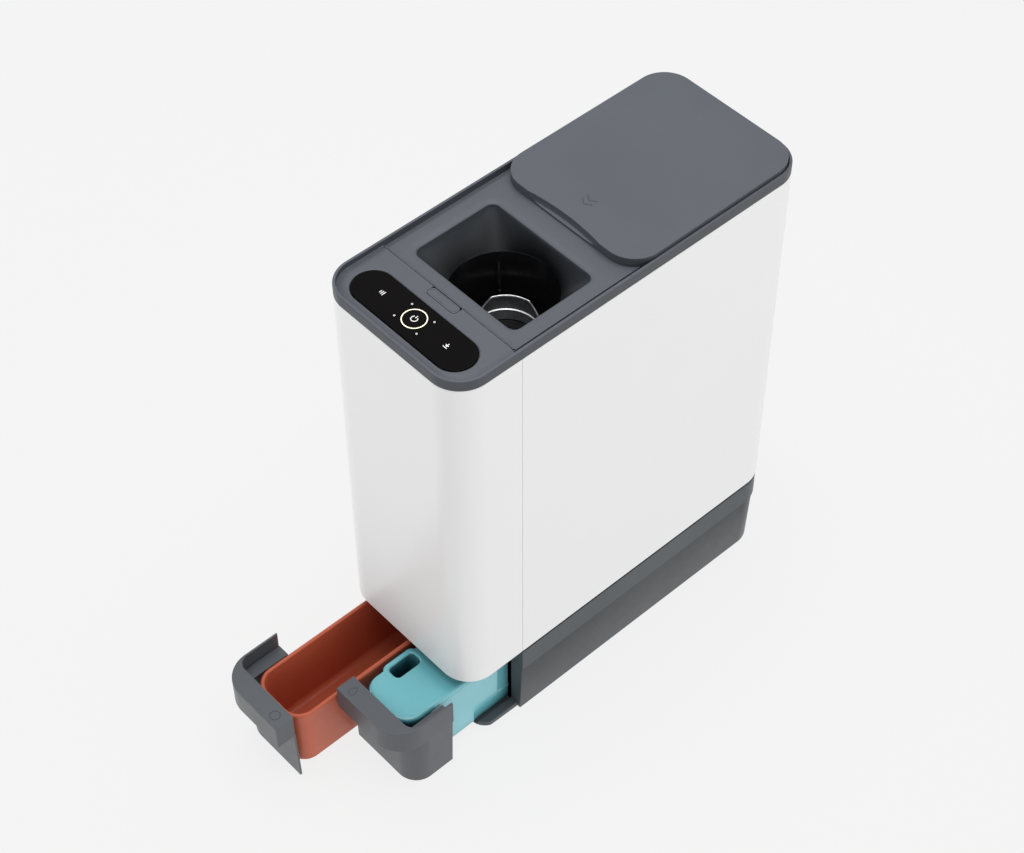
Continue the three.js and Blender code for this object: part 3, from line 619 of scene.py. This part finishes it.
def behind_seam(y_deck, y_rim):
    """Everything behind the seam of panel and hopper deck, which shifts in y inside the rim."""
    x_rim, width, steps = 97.4, 4.4, 6
    step = []
    for i in range(steps + 1):
        u = i / steps
        step.append((x_rim - width * u, y_rim + (y_deck - y_rim) * (3 - 2 * u) * u * u))
    left = [(-x, y) for x, y in step]
    side, back = 150, 400
    outline = ([(-side, y_rim)] + left + list(reversed(step))
               + [(side, y_rim), (side, back), (-side, back)])
    return prism("tool", outline, *THROUGH_DECKS)


def stadium(grow):
    return rounded(-PANEL_HALF - grow, PANEL_HALF + grow, PANEL_Y - PANEL_R - grow,
                   PANEL_Y + PANEL_R + grow, PANEL_R + grow - 0.01, 20)


def make_control_deck():
    trough = PANEL_TOP - 2.6
    slope = (arc(4.1, trough + 0.9, 0.9, 200, 270, 4)
             + [(5.6, trough + 0.25), (7.4, trough + 0.9), (9.4, trough + 1.7),
                (11.4, trough + 2.3), (13.2, PANEL_TOP - 0.05), (14.5, PANEL_TOP)])
    deck = tray("control_surround", [(3.2, trough + 0.9)] + slope)
    behind = behind_seam(DECK_LO.y - SEAM_GAP, FRONT_END)
    tab_hole = prism("tool", rounded(TAB_LO.x - TAB_GAP, TAB_HI.x + TAB_GAP, TAB_LO.y - TAB_GAP,
                                     TAB_HI.y + 20, 4.5, 8), *THROUGH_DECKS)
    glass_hole = flare(lambda grow: stadium(grow + GLASS_GAP), PANEL_TOP, 2.4, 1.6, 4)
    cut(deck, behind, glass_hole, tab_hole)
    soften(deck, 0.35, 3, lambda p: p.z > PANEL_TOP - 3 and DECK_LO.y - 0.5 < p.y and (
        abs(p.x) > 20 or abs(p.y - DECK_LO.y + SEAM_GAP) < 0.1))
    soften(deck, 0.4, 2, lambda p: (p.z > PANEL_TOP - 0.1 and abs(p.x) < 21.5
                                    and p.y > TAB_LO.y - 1))
    piece(deck, "housing", "slate_plastic", "control_deck")

    glass = prism("control_window", stadium(0), GLASS_TOP - 2.6, GLASS_TOP)
    soften(glass, 0.35)
    piece(glass, "housing", "black_gloss", "control_glass")

    radius = RING_HI.x - 0.5
    ring = turned("light_ring", [
        (radius - 0.5, GLASS_TOP - 0.4), (radius + 0.5, GLASS_TOP - 0.4),
        (radius + 0.5, GLASS_TOP + 0.05), (radius + 0.3, GLASS_TOP + 0.12),
        (radius - 0.3, GLASS_TOP + 0.12), (radius - 0.5, GLASS_TOP + 0.05)], (0, RING_Y))
    piece(ring, "housing", "ring_diffuser", "touch_ring")
    make_symbols()
    make_tab()


def line_mark(points, closed=False, width=0.45):
    return tube("mark", [(x, y, GLASS_TOP + 0.02) for x, y in points], width, closed)


def make_symbols():
    """Plain touch symbols: a power sign and four dots at the ring, bars left, an arrow right."""
    marks = [line_mark(arc(0, RING_Y, 3.4, 130, 410, 20)),
             line_mark([(0, RING_Y + 1.2), (0, RING_Y + 4.6)])]
    left, right = -SYMBOL_X, SYMBOL_X
    for i in range(3):
        x = left - 2.2 + 2.2 * i
        reach = 1.8 + 0.5 * i
        marks.append(line_mark([(x, RING_Y - reach), (x, RING_Y + reach)], width=0.4))
    marks.append(line_mark([(right, RING_Y + 2.6), (right, RING_Y - 1.4)]))
    marks.append(line_mark([(right - 1.9, RING_Y + 0.6), (right, RING_Y - 1.5),
                            (right + 1.9, RING_Y + 0.6)]))
    marks.append(line_mark([(right - 2.6, RING_Y - 3), (right + 2.6, RING_Y - 3)]))
    for sx in (1, -1):
        for sy in (1, -1):
            marks.append(line_mark(arc(16 * sx, RING_Y + 11 * sy, 0.75, 0, 330, 11), True, 0.28))
    group = marks[0]
    group.name = "touch_symbols"
    work = bmesh.new()
    for mark in marks:
        work.from_mesh(mark.data)
    work.to_mesh(group.data)
    work.free()
    for mark in marks[1:]:
        bpy.data.objects.remove(mark)
    piece(group, "housing", "ring_diffuser", material=SYMBOLS)


def make_tab():
    """A push tab with a fine groove inside its edge, on a stem."""
    top = TAB_HI.z

    def outline(inset, r):
        return rounded(TAB_LO.x + inset, TAB_HI.x - inset, TAB_LO.y + inset, TAB_HI.y - inset,
                       r, 10)

    tab = prism("release_tab", outline(0, 4), top - 3.5, top)
    channel = prism("tool", outline(1.3, 2.9), top - 0.45, top + 5)
    island = prism("tool", outline(1.9, 2.4), top - 2, top)
    stem = block("tool", -4, 4, TAB_LO.y + 4.6, TAB_HI.y - 3, TAB_LO.z, top - 2)
    cut(tab, channel)
    join(tab, island, stem)
    soften(tab, 0.3, 2, angle=40)
    piece(tab, "button", "slate_plastic", "release_button")


def opening(grow):
    return rounded(-HOPPER_HALF[0] - grow, HOPPER_HALF[0] + grow, HOPPER_Y - HOPPER_HALF[1] - grow,
                   HOPPER_Y + HOPPER_HALF[1] + grow, HOPPER_R + grow, 12)


def make_decks():
    """One piece for both decks: their seam is only a notch on each side of the rim."""
    floor = DECK_TOP - 2.3
    groove = arc(4.2, floor + 1, 1, 180, 270, 3) + arc(8.2, floor + 0.8, 0.8, -90, 0, 3)
    plateau = arc(9.8, DECK_TOP - 0.8, 0.8, 180, 90, 4)
    deck = tray("deck_surround", groove + plateau)

    y = DECK_LO.y - 1
    ramp = [(y, DECK_TOP - 2), (y, PANEL_TOP), (y + 1.6, PANEL_TOP), (y + 3.8, DECK_TOP + 0.3),
            (y + 4.6, DECK_TOP - 2)]
    join(deck, loft("tool", [[(x, y, z) for y, z in ramp] for x in (-90.4, 90.4)]))
    front = cut(block("tool", -160, 160, -400, 0, 480, 720), behind_seam(DECK_LO.y, MAIN_END))
    cut(deck, front, flare(opening, DECK_TOP, 8.5, 2.8, 8, 10))
    soften(deck, 0.35, 3, lambda p: p.z > DECK_TOP - 5 and p.y < MAIN_END + 0.1)

    y = REAR_DECK_START
    cut(deck, *block_pair(96, 140, y - 0.35, y + 0.05, RIM_TOP - 1.4, THROUGH_DECKS[1]))
    y = MAIN_END + 4.6
    for x in (81, -81):
        join(deck, prism("tool", [(x - 2.2, y - 1.8), (x + 2.2, y - 1.8), (x, y + 2.2)],
                         DECK_TOP - 0.5, DECK_TOP + 0.3))
    piece(deck, "housing", "slate_plastic", "hopper_deck", "rear_deck")


def make_lid():
    bottom, top = LID_LO.z + 2, LID_HI.z
    lid = prism("lid_panel", rounded(LID_LO.x, LID_HI.x, LID_LO.y, LID_HI.y, 33, 24), bottom, top)
    # The scoop in its front edge is a very large circle, which reaches dip behind that edge.
    reach, dip, depth = 284.6, 4.6, 8.4
    centre_y = LID_LO.y + dip - reach
    levels = [(-3.2, -depth), (-1.6, -depth + 0.7), (-0.7, -depth + 2.4), (-0.2, -2.5), (0, 0),
              (0, 5)]
    scoop = loft("tool", [at(arc(0, centre_y, reach + grow, 60, 120, 160)
                             + [(-140, -90), (140, -90)], top + dz) for grow, dz in levels])
    hollow = prism("tool", rounded(-88, 88, LID_LO.y + 10.4, LID_HI.y - 9.4, 26, 12),
                   bottom - 1, bottom + 6)
    cut(lid, scoop, hollow)
    soften(lid, 0.9, 4, lambda p: p.z > top - 0.1)
    soften(lid, 0.6, 3, lambda p: p.z < bottom + 0.1 and not (
        abs(p.x) < 89 and LID_LO.y + 9 < p.y < LID_HI.y - 8))
    runners = block_pair(92.2, 95.6, 30, 185, LID_LO.z, bottom + 0.6)
    join(lid, *runners)
    piece(lid, "lid", "slate_plastic", "sliding_lid")

    z = top - 0.15
    for i in range(2):
        y = LID_LO.y + 34 - 7 * i
        chevron = tube(f"lid_chevron_{i + 1}", [(-7, y + 5, z), (0, y, z), (7, y + 5, z)], 0.5)
        piece(chevron, "lid", "slate_plastic", material=MARKS)


# ---------- hopper, bowl and rotor ----------

def mouth_ring(t, grow, z):
    """A level of the funnel. t runs from 0, the rectangular mouth, to 1, the round bowl."""
    ring = []
    count = 128
    half_x, half_y, r = HOPPER_HALF[0] + grow, HOPPER_HALF[1] + grow, HOPPER_R + grow
    for i in range(count):
        a = (i + 0.5) / count * 2 * math.pi
        c, s = math.cos(a), math.sin(a)
        reach = min(half_x / abs(c), half_y / abs(s))
        if reach * abs(c) > half_x - r and reach * abs(s) > half_y - r:
            along = abs(c) * (half_x - r) + abs(s) * (half_y - r)
            reach = along + math.sqrt(along ** 2 - (half_x - r) ** 2 - (half_y - r) ** 2 + r ** 2)
        length = reach + (BOWL_R + grow - reach) * t
        ring.append((length * c, HOPPER_Y + length * s, z))
    return ring


def make_hopper():
    top, low = UNDERSIDE + 0.2, BOWL_HI.z - 0.1
    steps = 14
    levels = [((i / steps) ** 1.25, low + (top - low) * (1 - i / steps)) for i in range(steps + 1)]
    inner = [mouth_ring(t, 0.02, z) for t, z in levels]
    outer = [mouth_ring(t, 3.2, z) for t, z in reversed(levels)]
    funnel = loft("hopper_funnel", inner + outer, loop=True)
    piece(funnel, "housing", "slate_plastic", "hopper_collar", material=FUNNEL_SHADE_SLATE, angle=50)
    make_bowl()
    make_rotor()


def make_bowl():
    low, top = BOWL_LO.z, BOWL_HI.z
    profile = ([(9, low), (48, low), (BOWL_R + 3, low + 14), (BOWL_R + 3, top - 4),
                (BOWL_R + 6, top - 3), (BOWL_R + 6, top), (BOWL_R + 0.6, top), (BOWL_R, top - 0.8)]
               + arc(BOWL_R - 13, low + 16, 13, 0, -90, 10) + [(9, low + 3)])
    bowl = turned("grinding_pot", profile, (0, HOPPER_Y))
    duct_z = box_mm("transfer_duct")[0].z
    port = block("tool", -16, 16, HOPPER_Y + 40, HOPPER_Y + 80, duct_z + 3.8, duct_z + 27.8)
    cut(bowl, port)
    rib_section = [(BOWL_R + 1, top - 14), (BOWL_R - 1, top - 14), (BOWL_R - 7, top - 24),
                   (BOWL_R - 12, low + 50), (BOWL_R - 12, low + 20), (BOWL_R + 1, low + 20)]
    for a in RIB_ANGLES:
        rib = prism("tool", rib_section, -1.1, 1.1)
        rib.data.transform(Matrix.Rotation(math.radians(90), 4, "X"))
        rib.data.transform(Matrix.Rotation(math.radians(a), 4, "Z"))
        rib.data.transform(Matrix.Translation((0, HOPPER_Y * MM, 0)))
        join(bowl, rib)
    piece(bowl, "housing", "black_gloss", "grinding_bowl", material=BOWL_BLACK, angle=30)


def make_rotor():
    """A hub on a plate, and two curved blades with a ridge on their inner side."""
    low = box_mm("rotor_disc")[0].z
    disc = turned("rotor_plate", [(6.2, low + 2), (38, low), (40, low + 1), (40, low + 2.4),
                                  (20, low + 4), (17, low + 9), (11, low + 22), (6, low + 25),
                                  (2, low + 25.6), (2, low + 4)], (0, HOPPER_Y))
    piece(disc, "rotor", "stainless", "rotor_disc", material=BOWL_BLACK, angle=40)
    start, sweep, steps = 76, 104, 40
    for i, name in enumerate("ab"):
        lo, hi = box_mm(f"rotor_blade_{name}")
        rings = []
        for k in range(steps + 1):
            u = k / steps
            a = math.radians(start + sweep * u + 180 * i)
            r = 40.4 - 3 * u ** 3
            top = hi.z - 13 * max(0, abs(2 * u - 1) - 0.55) / 0.45
            c, s = math.cos(a), math.sin(a)
            section = [(r - 1.5, lo.z), (r + 1.5, lo.z), (r + 1.5, top - 1.3), (r + 0.6, top - 0.3),
                       (r, top - 0.05), (r - 0.6, top - 0.3), (r - 1.5, top - 1.6),
                       (r - 1.5, lo.z + 15), (r - 2.6, lo.z + 14.2), (r - 2.6, lo.z + 13.4),
                       (r - 1.5, lo.z + 12.4)]
            rings.append([(q * c, HOPPER_Y + q * s, z) for q, z in section])
        blade = loft(f"cutter_{name}", rings)
        piece(blade, "rotor", "chrome", f"rotor_blade_{name}", angle=45)


# ---------- plinth ----------

def make_plinth():
    """The body of the plinth, a skin over its skirt to carry painted shade, and a dark strip
    under the shell as a painted shadow in the gap.
    """
    low = PLINTH_LO.z
    top = PLINTH_TOP - 2
    floor = low + 2.1
    profile = [(5.4, low), (4.9, low + 0.6), (2.1, BAND_BOTTOM - 0.4), (1.9, BAND_BOTTOM),
               (0.7, BAND_BOTTOM + 0.1), (0.4, BAND_BOTTOM + 0.6), (0.4, top - 0.7),
               (0.6, top - 0.2), (1.1, top)]
    body = loft("plinth_body", [at(rear_path(inset, MAIN_END, 24), z) for inset, z in profile])
    bay_half = 80.4
    bay = block("tool", -bay_half, bay_half, -300, 212, floor, 200)
    cut(body, bay, *block_pair(84, 92, MAIN_END + 3, 190, -1, 109))
    soften(body, 0.5, 2, lambda p: abs(p.y - MAIN_END) < 0.1)
    tongue = arc(71.5, -182.5, 20, -65, -22, 12) + [(91, -140), (bay_half, -140)]
    lip = arc(71.5, -182.5, 20, -90, -22, 12) + [(91, -140)]
    join(body, prism("tool", lip + flipped(lip), low + 0.05, floor))
    for outline in (tongue, flipped(tongue)):
        plate = prism("tool", outline, low + 0.1, low + 6.3)
        soften(plate, 1.2, 3, lambda p: p.z > low + 6)
        join(body, plate)
    piece(body, "housing", "slate_plastic", "base_plinth", material=PLINTH_SLATE, angle=30)

    # A skin over the skirt, there to carry its painted shade.
    section = [(4.7, low + 0.7), (1.9, BAND_BOTTOM - 0.5), (3.1, BAND_BOTTOM - 0.5),
               (5.9, low + 0.7)]
    skirt = loft("plinth_skirt_shade", [at(rear_path(inset, MAIN_END + 0.2, 24), z)
                                  for inset, z in section], loop=True)
    piece(skirt, "housing", "slate_plastic", material=SKIRT_SHADE_SLATE, angle=30)
    # Painted shadow: a dark strip where the gap under the shell lies in shade.
    gap_shadow = prism("shell_gap_shadow", walled(rear_path, MAIN_END + 0.5, 0.55, 2.3),
                  top - 0.02, SHELL_Z[0] - 0.02)
    piece(gap_shadow, "housing", "rubber")


# ---------- drawers ----------

def drawer_front(name, shift, mirror):
    """The pull bar, its thin return along the side and the skirt plate below it."""
    inner, front = 1.3, -HALF_D + PULL_SET_BACK
    side, end = HALF_W - 0.4, MAIN_END - 0.45
    top, low = PLINTH_TOP, PLINTH_LO.z + 0.4
    r = CORNER_R

    def ring(grow, lip, z):
        outer = ([(inner, front + grow)] + arc(side - r, front + r, r - grow, -90, 0, 20)
                 + [(side - grow, end)])
        back = ([(side - 2 + lip, end)] + arc(84, -193.4, 13.6 + lip, 0, -90, 12)
                + [(inner, -207 - lip)])
        return at(outer + back, z)

    bar = loft("tool", [ring(1.4, 0, BAND_BOTTOM), ring(0.4, 0, BAND_BOTTOM + 0.4),
                        ring(0, 0, BAND_BOTTOM + 1.2), ring(0, 0, top - 0.9),
                        ring(0.25, -0.2, top - 0.25), ring(0.9, -0.5, top)])
    web = prism("tool", [(70, -207.5), (95, -207.5), (96.5, -190), (96.5, end), (81.4, end)]
                + arc(76.5, -200, 4.9, 0, -90, 6) + [(70, -204.9)],
                BAND_BOTTOM + 10.5, BAND_BOTTOM + 13)

    bend_x, bend_y, bend_r, skirt_side = 72.8, -183.6, 25, 97.8
    plate, full_lean = 2.4, 2.7

    def skirt_ring(lean, z):
        """The skirt's section, drawn in towards the middle by lean at the side."""
        y_lean = 1.6 * lean / full_lean
        outer = ([(inner, -208.6 + y_lean)] + arc(bend_x, bend_y, bend_r, -90, 0, 16)
                 + [(skirt_side, end)])
        back = ([(skirt_side - plate, end)] + arc(bend_x, bend_y, bend_r - plate, 0, -90, 16)
                + [(inner, -206.2 + y_lean)])
        shifted = []
        for x, y in outer + back:
            toward = max(0, min(1, (-180 - y) / 28)) * y_lean
            shifted.append((x * (1 - lean / skirt_side), y + (toward if x > inner + 1 else 0)))
        return at(shifted, z)

    skirt = loft("tool", [skirt_ring(full_lean, low), skirt_ring(0, BAND_BOTTOM + 1)])
    body = join(bar, web, skirt)
    body.name = name
    soften(body, 0.4, 2, lambda p: p.x < inner + 0.1 or p.y > end - 0.1)
    scale = Matrix.Scale(-1, 4, (1, 0, 0)) if mirror else Matrix.Identity(4)
    body.data.transform(Matrix.Translation((0, shift * MM, 0)) @ scale)
    return body


def container(name, profile, lo, hi):
    """A tapered vessel from a list of (inset, height) points."""
    corner = 24
    return loft(name, [at(rounded(lo.x + i, hi.x - i, lo.y + i, hi.y - i, corner - i, 14), z)
                       for i, z in profile])


def make_bin():
    low, top = BIN_LO.z, BIN_HI.z
    outside = ([(11, low)] + arc(9.5, low + 7, 7, 270, 188, 6) + [(0.5, top - 12)]
               + arc(2.35, top - 2.1, 2.35, 180, 90, 4) + arc(3.1, top - 1.6, 1.6, 90, 0, 4))
    inside = ([(5.2, top - 8), (6.6, low + 10.5)] + arc(13.4, low + 9.6, 6.8, 188, 270, 6)
              + [(16, low + 2.8)])
    vessel = container("terracotta_bin", outside + inside, BIN_LO, BIN_HI)
    piece(vessel, "compost_drawer", "terracotta", "compost_bin", angle=50)


def make_tank():
    """A closed tank with a grip pocket in its top and its two outer steps cut away."""
    low, top = TANK_LO.z, TANK_HI.z
    # y values below are for a tank whose front is at -203.6.
    shift = TANK_LO.y + 203.6
    outside = ([(11, low)] + arc(8, low + 6, 6, 270, 188, 6) + [(0.6, top - 20)]
               + arc(5.6, top - 5.6, 5.6, 180, 90, 8) + [(9, top)])
    tank = container("teal_tank", outside, TANK_LO + Vector((3, 0, 0)), TANK_HI)
    y0, y1 = -166.4 + shift, -131.6 + shift
    boss_profile = [(0, 60), (0, top - 1.6), (0.5, top - 0.5), (1.6, top - 0.02)]
    boss = loft("tool", [at(rounded(TANK_LO.x + 0.4 + i, 31 - i, y0 - 6 + i, y1 + 6 - i,
                                    9 - i, 10), z) for i, z in boss_profile])
    join(tank, boss)

    def grip(grow):
        return rounded(8.5 - grow, 25.5 + grow, y0 - grow, y1 + grow, 5.5 + grow, 10)

    def recess(y, z0, z1):
        tool = block("tool", 74.8, 90, y + shift, TANK_HI.y + 20, z0, z1)
        soften(tool, 3, 4, lambda p: p.x < 75 and p.y < TANK_HI.y)
        return tool

    inlet = turned("tool", [(0.5, top - 12), (14, top - 12), (14, top + 5), (0.5, top + 5)],
                   (40, 105 + shift), 48)
    cut(tank, flare(grip, top, 2, 2, 50), recess(-70.3, 26, 200), recess(-104.6, -10, 27), inlet)
    piece(tank, "liquid_drawer", "teal", "liquid_tank", angle=38)


def make_drawers():
    for name, node, body, mirror in (
            ("compost_pull", "compost_drawer_front", "compost_drawer", True),
            ("liquid_pull", "liquid_drawer_front", "liquid_drawer", False)):
        front_y = box_mm(node)[0].y
        front = drawer_front(name, front_y + HALF_D - PULL_SET_BACK, mirror)
        piece(front, body, "slate_plastic", node, material=PULL_SLATE, angle=30)
        y = front_y + 11
        if mirror:
            points = arc(-16, y, 5.6, 0, 350, 35)
        else:
            points = arc(16, y - 1.4, 4.2, 150, 390, 24) + [(16, y + 6.4)]
        mark = tube(name + "_mark", [(px, py, PLINTH_TOP - 0.16) for px, py in points], 0.4, True)
        piece(mark, body, "slate_plastic", material=MARKS)
    make_bin()
    make_tank()


# ---------- parts that keep their CAD shape ----------

def refine_rest():
    """The other nodes keep their shape and get softened edges and a finish."""
    slots = {part["node"]: part["material_slot"] for part in frame["record"]["subparts"]}
    for name, node in frame["nodes"].items():
        if node.hide_render:
            continue
        copy = bpy.data.objects.new(name + "_detail", node.data.copy())
        bpy.context.scene.collection.objects.link(copy)
        with edited(copy) as work:
            bmesh.ops.remove_doubles(work, verts=work.verts, dist=0.01 * MM)
        tidy(copy)
        soften(copy, 0.3, 2, angle=40)
        piece(copy, node["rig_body"], slots[name], name)


# ---------- floor, light and camera ----------

def make_floor():
    half = 6000
    floor = mesh_object("studio_floor", [(-half, -half, 0), (half, -half, 0), (half, half, 0),
                                         (-half, half, 0)], [(0, 1, 2, 3)])
    # Most of the pale tone is the floor's own glow, so that shadows on it stay soft and weak.
    glow, pale = 0.82, 0.905
    paper = Nodes("studio_paper")
    paper.shade({"Base Color": (pale - glow, pale - glow, pale - glow, 1),
                 "Specular IOR Level": 0, "Roughness": 1,
                 "Emission Color": (1, 1, 1, 1), "Emission Strength": glow})
    floor.data.materials.append(paper.material)


def area_light(name, place, target, width, height, power):
    data = bpy.data.lights.new(name, "AREA")
    data.shape = "RECTANGLE"
    data.size, data.size_y = width, height
    data.energy = power
    light = bpy.data.objects.new(name, data)
    light.location = place
    light.rotation_euler = (Vector(target) - Vector(place)).to_track_quat("-Z", "Y").to_euler()
    bpy.context.scene.collection.objects.link(light)


def make_light():
    world = bpy.data.worlds.new("studio")
    world.use_nodes = True
    background = world.node_tree.nodes["Background"]
    background.inputs["Color"].default_value = (1, 1, 1, 1)
    background.inputs["Strength"].default_value = 0.6
    bpy.context.scene.world = world
    area_light("overhead", (0, 0, 2.5), (0, 0, 0), 2, 2, 30)
    area_light("key", (-2.6, -1.5, 0.9), (0, 0, 0.3), 1.4, 1.4, 18)
    area_light("side", (2.85, 0.93, 0.9), (0, 0, 0.3), 1.4, 1.4, 12)
    bpy.context.scene.view_settings.view_transform = "Standard"


def make_camera():
    azimuth, elevation, roll = math.radians(47.627), math.radians(48.827), math.radians(-0.076)
    back = Vector((math.sin(azimuth) * math.cos(elevation),
                   -math.cos(azimuth) * math.cos(elevation), math.sin(elevation)))
    data = bpy.data.cameras.new("camera")
    data.sensor_width = 36
    data.lens = 79.48
    data.shift_x, data.shift_y = -0.00955, -0.00198
    data.clip_end = 50
    camera = bpy.data.objects.new("camera", data)
    turn = back.to_track_quat("Z", "Y").to_matrix().to_4x4() @ Matrix.Rotation(roll, 4, "Z")
    camera.matrix_world = Matrix.Translation(Vector((1146.83, -1107.44, 2106.2)) * MM) @ turn
    bpy.context.scene.collection.objects.link(camera)
    bpy.context.scene.camera = camera


make_shells()
make_control_deck()
make_decks()
make_lid()
make_hopper()
make_plinth()
make_drawers()
refine_rest()
make_floor()
make_light()
make_camera()
